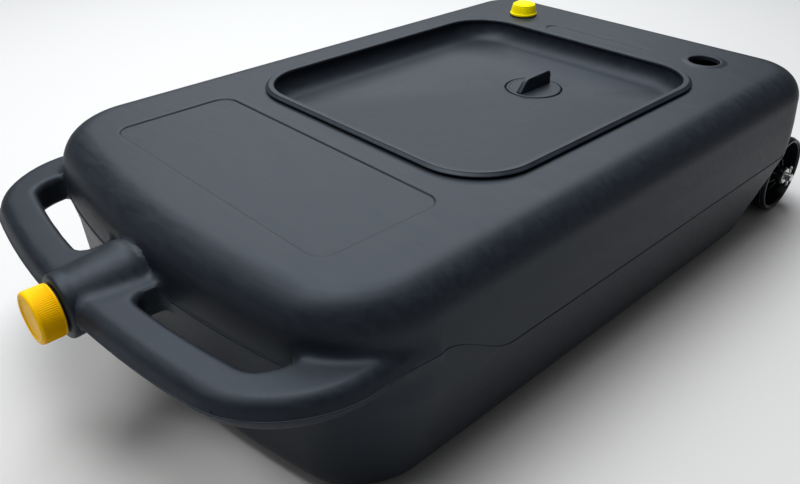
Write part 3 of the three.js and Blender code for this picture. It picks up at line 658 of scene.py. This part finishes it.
TANK_FINISH = moulded_plastic("tank_plastic", (0.0085, 0.0110, 0.0155), (0.019, 0.024, 0.033), 0.50).material
TRAY_FINISH = moulded_plastic("tray_plastic", (0.0085, 0.0110, 0.0155), (0.019, 0.024, 0.033), 0.48,
                              grain=3400, flow=(12, 3, 12)).material
WHEEL_FINISH = moulded_plastic("wheel_plastic", (0.004, 0.004, 0.005), (0.009, 0.010, 0.012), 0.34,
                               flow=(8, 8, 8)).material
SPOUT_CAP_FINISH = cap_plastic("spout_cap_plastic", (0.86, 0.46, 0.0), (0.96, 0.54, 0.0), 0.42).material
VENT_CAP_FINISH = cap_plastic("vent_cap_plastic", (1.0, 0.80, 0.0), (1.0, 0.86, 0.0), 0.4).material
STEEL_FINISH = plated_steel("plated_steel").material
RUBBER_FINISH = soft_rubber("seal_rubber").material


def finish_piece(piece, material, body, slot, *nodes):
    """Gives a new piece its material and its body, and hides the CAD nodes that it stands for; the slot is
    not used.
    """
    piece.data.materials.clear()
    piece.data.materials.append(material)
    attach(piece, body)
    if nodes:
        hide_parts(*nodes)
    return piece


# ------------------------------------------------------------------ tank


RIDGE_GUIDE_FRONT = -560.0  # the guide runs round the tank and its handle, clear of both
RIDGE_GUIDE_SIDE = 340.0
RIDGE_GUIDE_CORNER = 70
RIDGE_FALL_START = -297  # where the line leaves the handle's level along the sides
RIDGE_FALL_LENGTH = 105


def side_ridge(side):
    """The parting line from the spout round the handle, and falling along one side of the tank."""
    t = np.linspace(0, 1, 90)
    turn = np.radians(90 * t)[1:]
    corner_x = RIDGE_GUIDE_SIDE - RIDGE_GUIDE_CORNER
    corner_y = RIDGE_GUIDE_FRONT + RIDGE_GUIDE_CORNER
    along = np.linspace(-488, 424, 200)
    x = np.concatenate([
        40 + 230 * t,
        corner_x + RIDGE_GUIDE_CORNER * np.sin(turn),
        np.full(200, RIDGE_GUIDE_SIDE),
    ])
    y = np.concatenate([np.full(90, RIDGE_GUIDE_FRONT), corner_y - RIDGE_GUIDE_CORNER * np.cos(turn), along])
    reach_x = np.concatenate([0.25 * t, 0.25 + 0.75 * np.sin(turn), np.ones(200)])
    reach_y = -np.sqrt(1 - np.clip(reach_x, 0, 1) ** 2)
    fall = np.clip((y - RIDGE_FALL_START) / RIDGE_FALL_LENGTH, 0, 1)
    z = HANDLE_HEIGHT + (PARTING_HEIGHT - 1 - HANDLE_HEIGHT) * fall ** 2 * (3 - 2 * fall)
    guide = np.stack([side * x, y, z], 1)
    inward = np.stack([-side * reach_x, -reach_y, np.zeros(len(x))], 1)
    return ridge_along(guide, inward, 0.7)


def hand_gap_ridge(side, lift):
    """One of the two fine lines across the front wall behind a hand gap."""
    x = np.linspace(WINDOW_INNER + 10, WINDOW_OUTER - 12, 60)
    y = FRONT_WALL + FRONT_BOW - np.sqrt(FRONT_BOW ** 2 - x ** 2) - 8
    guide = np.stack([side * x, y, np.full(60, HANDLE_HEIGHT + lift)], 1)
    return ridge_along(guide, np.stack([0 * x, 0 * x + 1, 0 * x], 1), 0.55)


def rear_ridge():
    x = np.linspace(-POCKET_INNER + 14, POCKET_INNER - 14, 60)
    guide = np.stack([x, np.full(60, TANK_REAR + 20), np.full(60, PARTING_HEIGHT)], 1)
    return ridge_along(guide, np.stack([0 * x, 0 * x - 1, 0 * x], 1), 0.7)


def parting_ridges():
    """The mould's parting line: round the handle, falling along the sides, and across the rear."""
    parts = []
    for side in (-1, 1):
        parts.append(side_ridge(side))
        parts += [hand_gap_ridge(side, lift) for lift in (-1.6, 1.6)]
    return [*parts, rear_ridge()]


def recess(half_width, half_length, radius, depth, centre):
    """The part that cuts a shallow panel into the deck: a drafted wall, and a rounded upper edge."""
    levels = []
    for height, grow in ((-depth, -0.9), (-0.9, 0), (-0.5, 0.4), (-0.15, 1.0), (0.0, 1.9), (6, 1.9)):
        sizes = (half_width + grow, half_length + grow, radius + grow)
        outline = rounded_rectangle(*sizes, side_step=15, centre=centre)
        levels.append(np.column_stack([outline, np.full(len(outline), TANK_TOP + height)]))
    return capped(levels)


def add_spout(tank):
    collar = [(SPOUT_BORE, -COLLAR_FRONT - 30, 0), (NECK_COLLAR_RADIUS - 2.2, -COLLAR_FRONT - 30, 0),
              (NECK_COLLAR_RADIUS, -COLLAR_FRONT - 8, 20), (NECK_COLLAR_RADIUS, -COLLAR_FRONT, 4),
              (SPOUT_THREAD, -COLLAR_FRONT, 1), (SPOUT_THREAD, -neck_low[1], 1),
              (SPOUT_BORE, -neck_low[1], 0.8)]
    combine(tank, moved(along_front(turned(rounded_profile(collar))), AT_HANDLE), "UNION")
    thread = helix(SPOUT_THREAD - 0.4, -COLLAR_FRONT + 3, -neck_low[1] - 2, NECK_THREAD_PITCH, 1.3)
    combine(tank, moved(along_front(thread), AT_HANDLE), "UNION")


def add_vent(tank):
    neck = [(VENT_BORE, TANK_TOP - 2, 0), (VENT_NECK + 4, TANK_TOP - 2, 0), (VENT_NECK, TANK_TOP + 1.2, 1.5),
            (VENT_NECK, vent_high[2], 1), (VENT_BORE, vent_high[2], 0.6)]
    combine(tank, moved(turned(rounded_profile(neck)), AT_VENT), "UNION")
    thread = helix(VENT_NECK - 0.4, TANK_TOP + 3.5, vent_high[2] - 2, NECK_THREAD_PITCH, 1.2)
    combine(tank, moved(thread, AT_VENT), "UNION")


def add_port_lip(tank):
    lip = [(PORT_BORE, TANK_TOP - 2, 0), (PORT_BORE + 12, TANK_TOP - 2, 0),
           (PORT_BORE + 9, TANK_TOP + 0.1, 6), (PORT_BORE + 3, port_high[2], 3),
           (PORT_BORE, port_high[2], 1.6)]
    combine(tank, moved(turned(rounded_profile(lip)), AT_PORT), "UNION")


def add_axle_pads(tank):
    pads = []
    for hand in ("left", "right"):
        bracket_low, bracket_high = box_mm(f"axle_clip_{hand}")
        middle = (bracket_low[0] + bracket_high[0]) / 2
        half = (bracket_high[2] - bracket_low[2]) / 2 + 1
        pad = prism(rounded_rectangle(22, half, 4, 3, 20), STEP_FACE - 6, AXLE_Y)
        pads.append(moved(along_rear(pad), (middle, 0, AXLE_Z)))
    combine(tank, merged(pads), "UNION")


def make_tank():
    low = (-TANK_HALF_WIDTH - 8, HANDLE_FRONT - 9, -6)
    high = (TANK_HALF_WIDTH + 8, TANK_REAR + 8, TANK_TOP + 8)
    tank = new_mesh("tank_shell", *surface_of(tank_field, low, high, TANK_GRID))
    add_spout(tank)
    add_vent(tank)
    add_port_lip(tank)
    add_axle_pads(tank)
    combine(tank, merged(parting_ridges()), "UNION")

    bore = along_front(disc_part(SPOUT_BORE, -FRONT_WALL - 20, -neck_low[1] + PAST))
    groove = along_side(disc_part(GROOVE_RADIUS, -TANK_HALF_WIDTH, TANK_HALF_WIDTH), 1)
    cutters = [
        surface_of(lambda x, y, z: body_field(x, y, z) + WALL, low, high, CAVITY_GRID),
        prism(tray_outline(OPENING_INSET), TANK_TOP - WALL - 3, TANK_TOP + PAST),
        moved(bore, AT_HANDLE),
        moved(disc_part(VENT_BORE, TANK_TOP - 12, vent_high[2] + PAST), AT_VENT),
        moved(disc_part(PORT_BORE, TANK_TOP - 12, TANK_TOP + PAST), AT_PORT),
        recess(**FRONT_PANEL),
        recess(**REAR_PANEL),
        moved(groove, AT_AXLE),
    ]
    for cutter in cutters:
        combine(tank, cutter, "DIFFERENCE")
    shade(tank, 32)
    return finish_piece(tank, TANK_FINISH, "tank_body", "tank_plastic", "tank_base_front", "tank_base_rear",
                        "tank_top", "handle_left", "handle_right", "spout_neck", "vent_neck", "port_lip")


# ------------------------------------------------------------------ drain tray and plug


def tray_outline(inset):
    return rounded_rectangle(RIM_HALF_WIDTH - inset, RIM_HALF_LENGTH - inset, RIM_CORNER - inset,
                             centre=(0, TRAY_CENTRE_Y))


def make_tray():
    rim_bottom = TANK_TOP + 2.2
    rise = RIM_TOP - rim_bottom
    bead = rounded_profile([
        (5.5, rim_bottom, 0), (0, rim_bottom, 0.9), (0.1, rim_bottom + 0.35 * rise, 1.0),
        (3.6, RIM_TOP - 0.9, 1.6), (4.4, RIM_TOP, 0.6), (10.8, RIM_TOP, 1.2), (12, RIM_TOP - 1.6, 1.2),
        (12, rim_bottom + 0.8, 0.9), (10.4, rim_bottom - 0.8, 0.8),
    ], 5)[1:]
    centre_inset, centre_height = 10.6 + TRAY_FILLET, FLOOR_EDGE_HEIGHT + TRAY_FILLET
    arc = [(centre_inset - TRAY_FILLET * math.cos(a), centre_height - TRAY_FILLET * math.sin(a))
           for a in np.radians(np.arange(-5, 81, 7))]
    profile = [*map(tuple, bead), *arc]

    def level(outline, height):
        return np.column_stack([outline, np.full(len(outline), height)])

    rings = [level(tray_outline(inset), height) for inset, height in profile]
    edge = rings[-1]
    centre = np.array([0, DRAIN_Y])
    outward = edge[:, :2] - centre
    outward /= np.linalg.norm(outward, axis=1)[:, None]
    seat_radius = PLUG_RADIUS + 1
    steps = 18
    start_height = edge[0, 2]

    def floor_ring(share, drop):
        ring = edge[:, :2] * (1 - share) + (centre + outward * (seat_radius + 2.5)) * share
        eased = 1 - (1 - share) ** 1.5
        return level(ring, start_height + (SEAT_HEIGHT - start_height) * eased - drop)

    rings += [floor_ring(k / steps, 0) for k in range(1, steps + 1)]

    def drain_ring(radius, height):
        return level(centre + outward * radius, height)

    seat_floor = SEAT_HEIGHT - SEAT_DEPTH
    rings += [drain_ring(r, z) for r, z in [
        (seat_radius + 1.2, SEAT_HEIGHT - 0.1), (seat_radius + 0.4, SEAT_HEIGHT - 0.5),
        (seat_radius, SEAT_HEIGHT - 1.3),
        (seat_radius, seat_floor), (30.5, seat_floor), (30, seat_floor - 0.5), (30, tray_low[2] + 0.5),
        (30.5, tray_low[2]), (35.5, tray_low[2]), (36, tray_low[2] + 0.5), (36, seat_floor - 3),
        (seat_radius + 3, seat_floor - 3), (seat_radius + 3, SEAT_HEIGHT - 3.6)]]
    rings += [floor_ring(k / 6, 3) for k in range(5, -1, -1)]
    ridge_top = TANK_TOP - WALL - 0.3
    outside = [(24, FLOOR_EDGE_HEIGHT), (14, FLOOR_EDGE_HEIGHT + 6), (8.6, FLOOR_EDGE_HEIGHT + 14),
               (8, ridge_top - 4), (5.2, ridge_top - 1.4), (5.2, ridge_top - 0.6),
               (7, ridge_top), (7, rim_bottom)]
    rings += [level(tray_outline(inset), height) for inset, height in outside]
    points, faces = skin(rings, closed=True)
    tray = new_mesh("tray", points, faces, 40)
    return finish_piece(tray, TRAY_FINISH, "tank_body", "tray_plastic", "drain_tray")


def make_plug():
    bottom = plug_low[2]
    under = SEAT_HEIGHT - SEAT_DEPTH + 2.2
    body = turned(rounded_profile([
        (0, under, 0), (23.5, under, 0), (23.5, bottom, 0.4), (27.5, bottom, 1.2), (27.5, under, 0.6),
        (PLUG_RADIUS - 0.7, under, 0.8), (PLUG_RADIUS - 0.7, SEAT_HEIGHT + 0.5, 1.8),
        (PLUG_RADIUS - 4.5, SEAT_HEIGHT + 0.5, 1.0), (PLUG_RADIUS - 6, SEAT_HEIGHT - 0.1, 1.0),
        (0, SEAT_HEIGHT - 0.1, 0)]), 128)
    plug = new_mesh("plug_body", *moved(body, AT_DRAIN))
    thread = helix(27.4, bottom + 1.5, under - 1.5, PLUG_THREAD_PITCH, 1.5)
    combine(plug, moved(thread, AT_DRAIN), "UNION")
    half = 35
    top = plug_high[2] - SEAT_HEIGHT
    side_view = rounded_profile([(-half, -2, 0), (half, -2, 0), (half, top, 7), (14 - half, top - 1.5, 16),
                                 (-half, 1.5, 1.5)], 7)
    fin_rings = []
    for offset, inset in ((-4.5, 1.6), (-4.1, 0.6), (-3.2, 0), (3.2, 0), (4.1, 0.6), (4.5, 1.6)):
        shrink = side_view.copy()
        shrink[:, 0] *= 1 - inset / half
        shrink[:, 1] = np.where(shrink[:, 1] > 0, shrink[:, 1] * (1 - inset / top), shrink[:, 1])
        taper = 1 - 0.12 * np.clip(shrink[:, 1], 0, top) / top
        along, upward = shrink[:, 0] + DRAIN_Y, shrink[:, 1] + SEAT_HEIGHT
        fin_rings.append(np.column_stack([offset * taper, along, upward]))
    combine(plug, capped(fin_rings), "UNION")
    shade(plug, 35)
    return finish_piece(plug, TRAY_FINISH, "plug", "tray_plastic", "drain_plug")


# ------------------------------------------------------------------ screw caps


def make_spout_cap():
    """A screw cap with fine upright ribs, a plain skirt band and a shallow dished face."""
    ribs = 84
    radius = (spout_high[0] - spout_low[0]) / 2
    mouth, end = -spout_high[1], -spout_low[1]
    cavity = SPOUT_THREAD + 2
    rib_from, rib_to = mouth + 2.2, end - 4.2
    profile = rounded_profile([
        (0, end - 5, 0), (cavity - 1, end - 5, 0.8), (cavity - 1, mouth + 1.5, 0), (cavity, mouth, 0.4),
        (radius - 0.4, mouth, 0.7), (radius - 0.4, rib_from, 0.3), (radius, rib_from + 0.5, 0),
        (radius, rib_to, 0), (radius - 0.2, end, 3.4), (radius - 5.6, end, 1.0),
        (radius - 7.2, end - 1.5, 1.2), (0, end - 2.1, 0)], 5)

    def ribbed(angles, r, z):
        on_side = (r > radius - 1) and rib_from <= z <= rib_to + 0.1
        return r - 0.55 * (0.5 - 0.5 * np.cos(angles * ribs)) ** 0.7 if on_side else np.full(len(angles), r)

    part = moved(along_front(turned(profile, ribs * 6, ribbed)), AT_HANDLE)
    cap = new_mesh("spout_screw_cap", *part, 40)
    return finish_piece(cap, SPOUT_CAP_FINISH, "spout_closure", "cap_plastic", "spout_cap")


def make_vent_cap():
    """A low screw cap, broad below and rounded over, with soft shallow flutes."""
    flutes = 40
    radius = (vent_cap_high[0] - vent_cap_low[0]) / 2
    bottom, top = vent_cap_low[2], vent_cap_high[2]
    cavity = VENT_NECK + 1.4
    profile = rounded_profile([
        (0, top - 3, 0), (cavity, top - 3, 0.8), (cavity, bottom, 0.3), (radius, bottom, 0.8),
        (radius, bottom + 3.2, 0.8), (radius - 0.9, bottom + 3.8, 0.4), (radius - 3.0, top - 5.5, 4.5),
        (radius - 8.5, top - 0.4, 4.0), (0, top, 0)], 6)

    def fluted(angles, r, z):
        on_side = r > cavity + 0.5 and bottom + 3.9 < z < top - 5
        return r - 0.3 * (0.5 - 0.5 * np.cos(angles * flutes)) if on_side else np.full(len(angles), r)

    cap = new_mesh("vent_screw_cap", *moved(turned(profile, flutes * 6, fluted), AT_VENT), 40)
    return finish_piece(cap, VENT_CAP_FINISH, "vent_closure", "cap_plastic", "vent_cap")


# ------------------------------------------------------------------ wheels and axle


def make_wheel(hand, side):
    """A deep-dished moulded wheel: treaded band, rim bead, thin web with radial ribs, and a hub."""
    low, high = box_mm(f"wheel_{hand}")
    inner, outer = sorted(abs(v) for v in (low[0], high[0]))
    radius = (high[1] - low[1]) / 2
    face, back = outer - HUB_PROUD, inner + HUB_PROUD
    web_back, web_face = back + WEB_SETBACK, back + WEB_SETBACK + WEB_THICKNESS
    tread_grooves = 60
    spokes = 8
    band = radius - BAND_THICKNESS
    profile = rounded_profile([
        (WHEEL_BORE, inner, 0.5), (14, inner, 1.2), (14, web_back, 1.5), (band, web_back, 2),
        (radius - 5, back, 0.8), (radius - 2.5, back, 0.8),
        (radius - 1, back + 4, 1), (radius - 1, back + 5, 0), (radius, back + 5.6, 0),
        (radius, face - 6.6, 0), (radius - 1, face - 6, 0), (radius - 1, face - 4, 1),
        (radius - 2.5, face, 0.9), (radius - 5.5, face, 0.9), (radius - 5.8, face - 1.6, 0.4),
        (band, face - 2.2, 0.5), (band - 1.5, web_face, 3), (15, web_face, 3), (13, outer, 1.2),
        (WHEEL_BORE, outer, 0.5)], 5)

    def treaded(angles, r, _height):
        cut = 0.7 * (np.cos(angles * tread_grooves) > 0.82)
        return r - cut if r > radius - 0.01 else np.full(len(angles), r)

    body = along_side(turned(profile, tread_grooves * 6, treaded), side)
    wheel = new_mesh(f"wheel_piece_{hand}", *moved(body, AT_AXLE))
    for k in range(spokes):
        angle = 2 * math.pi * (k + 0.5) / spokes
        outline = np.array([(13, -1.2), (band - 0.5, -1.2), (band - 0.5, 1.2), (13, 1.2)])
        turn = np.array([[math.cos(angle), math.sin(angle)], [-math.sin(angle), math.cos(angle)]])
        foot = np.column_stack([outline @ turn, np.full(4, web_face - 1)])
        lift = np.array([face - 5, web_face + 4, web_face + 4, face - 5])
        crest = np.column_stack([(outline * [1, 0.75]) @ turn, lift])
        combine(wheel, moved(along_side(capped([foot, crest]), side), AT_AXLE), "UNION")
    shade(wheel, 35)
    return finish_piece(wheel, WHEEL_FINISH, f"{hand}_wheel", "wheel_plastic", f"wheel_{hand}")


def make_axle():
    length = axle_high[0]
    groove = AXLE_RADIUS - 0.2
    rod = turned(rounded_profile([
        (0, -length, 0), (AXLE_RADIUS, -length, 1.2), (AXLE_RADIUS, 4 - length, 0), (groove, 4.2 - length, 0),
        (groove, 4.8 - length, 0), (AXLE_RADIUS, 5 - length, 0), (AXLE_RADIUS, length - 5, 0),
        (groove, length - 4.8, 0), (groove, length - 4.2, 0), (AXLE_RADIUS, length - 4, 0),
        (AXLE_RADIUS, length, 1.2), (0, length, 0)]), 64)
    axle = new_mesh("axle_rod", *moved(along_side(rod, 1), AT_AXLE))
    for hand in ("left", "right"):
        low, high = box_mm(f"split_pin_{hand}")
        hole = disc_part(1.9, -12, 12, segments=32)
        combine(axle, moved(hole, ((low[0] + high[0]) / 2, AXLE_Y, AXLE_Z)), "DIFFERENCE")
    shade(axle, 35)
    return finish_piece(axle, STEEL_FINISH, "tank_body", "plated_steel", "axle")


def make_washer(name, side):
    low, high = box_mm(name)
    bottom, top = sorted(abs(v) for v in (low[0], high[0]))
    radius = (high[1] - low[1]) / 2
    part = ring_part(GROOVE_RADIUS, radius, bottom, top, 0.5, 64)
    washer = new_mesh(f"{name}_piece", *moved(along_side(part, side), AT_AXLE))
    return finish_piece(washer, STEEL_FINISH, "tank_body", "plated_steel", name)


def make_split_pin(hand):
    """Two half-round legs bent apart below the axle, running up into one round eye."""
    low, high = box_mm(f"split_pin_{hand}")
    middle = (low[0] + high[0]) / 2
    wire = 0.85
    eye_centre, eye_radius = high[2] - 4.2, 3.2
    leg_end = low[2] + 1.0
    bend = AXLE_Z - 9
    parts = []
    for turn in (-1, 1):
        sweep = np.radians(np.linspace(0, 158, 18))
        loop = [(0, turn * eye_radius * math.sin(a), eye_centre + eye_radius * math.cos(a)) for a in sweep]
        loop += [(0, turn * 0.86, z) for z in np.linspace(eye_centre - 5, bend, 8)]
        loop += [(0, turn * (0.86 + 2.6 * s ** 1.4), bend + (leg_end - bend) * s)
                 for s in (0.25, 0.5, 0.75, 1)]
        path = np.array(loop)
        ring = np.radians(np.arange(0, 360, 36))
        section = np.column_stack([wire * np.cos(ring), 1.5 * wire * np.sin(ring)])
        normal = np.tile([0, 1.0, 0], (len(path), 1))
        normal[:18] = np.column_stack([0 * sweep, turn * np.sin(sweep), np.cos(sweep)])
        normal[18:, 1] = turn
        parts.append(swept(path, section, normal))
    pin = new_mesh(f"split_pin_piece_{hand}", *moved(merged(parts), (middle, AXLE_Y, 0)), 50)
    return finish_piece(pin, STEEL_FINISH, "tank_body", "plated_steel", f"split_pin_{hand}")


# ------------------------------------------------------------------ carried-over nodes

CARRIED = {
    "tray_seal": RUBBER_FINISH,
    "drain_plug_seal": RUBBER_FINISH,
    "spout_cap_liner": RUBBER_FINISH,
    "vent_cap_liner": RUBBER_FINISH,
}
for hand in ("left", "right"):
    for node in (f"axle_clip_{hand}", f"clip_screw_upper_{hand}", f"clip_screw_lower_{hand}"):
        CARRIED[node] = STEEL_FINISH


def keep_node(node, material):
    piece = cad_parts[node]
    piece.data.materials.clear()
    piece.data.materials.append(material)
    bevel = piece.modifiers.new("soft_edges", "BEVEL")
    bevel.width = 0.0003
    bevel.segments = 2
    bevel.limit_method = "ANGLE"
    bevel.angle_limit = math.radians(40)


make_tank()
make_tray()
make_plug()
make_spout_cap()
make_vent_cap()
make_axle()
for hand, side in (("left", -1), ("right", 1)):
    make_wheel(hand, side)
    make_washer(f"outer_washer_{hand}", side)
    make_washer(f"inner_washer_{hand}", side)
    make_split_pin(hand)
for node, material in CARRIED.items():
    keep_node(node, material)

# ------------------------------------------------------------------ stage


def make_floor():
    mesh = bpy.data.meshes.new("floor")
    reach = 12
    corners = [(-reach, -reach, 0), (reach, -reach, 0), (reach, reach, 0), (-reach, reach, 0)]
    mesh.from_pydata(corners, [], [(0, 1, 2, 3)])
    floor = bpy.data.objects.new("floor", mesh)
    bpy.context.scene.collection.objects.link(floor)
    finish = Finish("floor_paint", 0.9, Specular_IOR_Level=0.1)
    finish.shader.inputs["Base Color"].default_value = (0.62, 0.62, 0.62, 1)
    mesh.materials.append(finish.material)


def area_light(name, place, target, size, power, colour=(1, 1, 1)):
    light = bpy.data.lights.new(name, "AREA")
    light.shape = "RECTANGLE"
    light.size, light.size_y = size
    light.energy = power
    light.color = colour
    lamp = bpy.data.objects.new(name, light)
    lamp.location = place
    lamp.rotation_euler = (Vector(target) - Vector(place)).to_track_quat("-Z", "Y").to_euler()
    bpy.context.scene.collection.objects.link(lamp)


def make_lights():
    middle = (0, 0, 0.1)
    area_light("rear_softbox", (-1.6, 1.4, 2.2), middle, (3.0, 2.0), 66, (0.93, 0.97, 1.0))
    area_light("overhead_softbox", (-0.4, -0.3, 2.6), middle, (1.8, 1.8), 72)
    area_light("front_fill", (-0.5, -1.7, 2.3), middle, (1.2, 1.0), 13)
    world = bpy.data.worlds.new("studio")
    world.use_nodes = True
    world.node_tree.nodes["Background"].inputs["Color"].default_value = (1, 1, 1, 1)
    world.node_tree.nodes["Background"].inputs["Strength"].default_value = 0.1
    bpy.context.scene.world = world


def make_camera():
    camera = bpy.data.cameras.new("camera")
    camera.sensor_width = 36
    camera.lens = 35.23
    camera.clip_start = 0.01
    eye = bpy.data.objects.new("camera", camera)
    eye.location = (0.6658, -0.6976, 0.6166)
    aim = Vector((0.2230, -0.2760, 0.2360))
    eye.rotation_euler = (aim - eye.location).to_track_quat("-Z", "Y").to_euler()
    bpy.context.scene.collection.objects.link(eye)
    bpy.context.scene.camera = eye


make_floor()
make_lights()
make_camera()
bpy.context.scene.view_settings.view_transform = "Standard"

bpy.context.view_layer.update()
